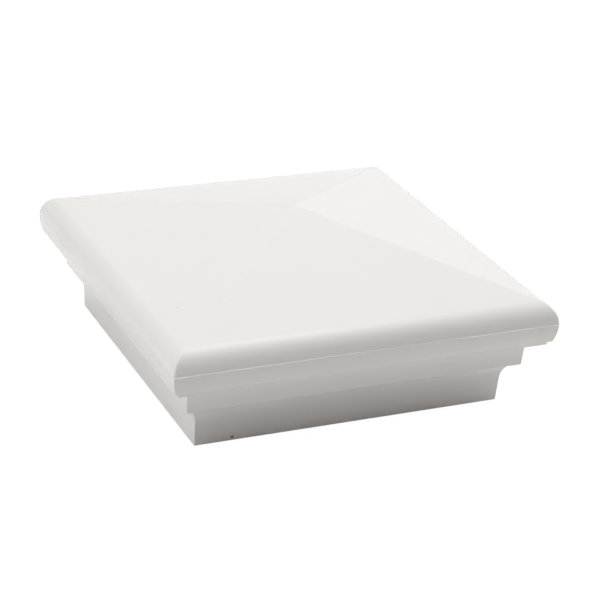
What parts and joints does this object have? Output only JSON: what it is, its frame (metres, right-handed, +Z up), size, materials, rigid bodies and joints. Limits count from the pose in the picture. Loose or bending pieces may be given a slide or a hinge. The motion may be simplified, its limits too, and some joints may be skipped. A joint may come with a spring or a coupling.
{
  "type": "fence post cap",
  "caption": "Square vinyl cap with a shallow pyramid roof, a bullnose rim, a stepped and coved underside and a skirt that slips over the top of a fence post.",
  "frame": {"origin": "middle of the skirt's bottom rim, on the plane that the cap stands on", "axes": "+Z up along the post and through the roof's point; +X and +Y square to the skirt's faces; the front face looks along -Y"},
  "size_m": [0.1658, 0.1658, 0.0674],
  "materials": {
    "crown_vinyl": "white rigid vinyl, satin gloss, moulded",
    "skirt_vinyl": "white rigid vinyl, satin gloss, moulded",
    "cement": "white set solvent cement, glossy",
    "foam": "light grey closed-cell foam, matte"
  },
  "bodies": {
    "root": {"crown_shell": "crown_vinyl", "skirt_shell": "skirt_vinyl", "weld_bead": "cement", "grip_pad_front": "foam", "grip_pad_right": "foam", "grip_pad_back": "foam", "grip_pad_left": "foam"}
  },
  "joints": []
}
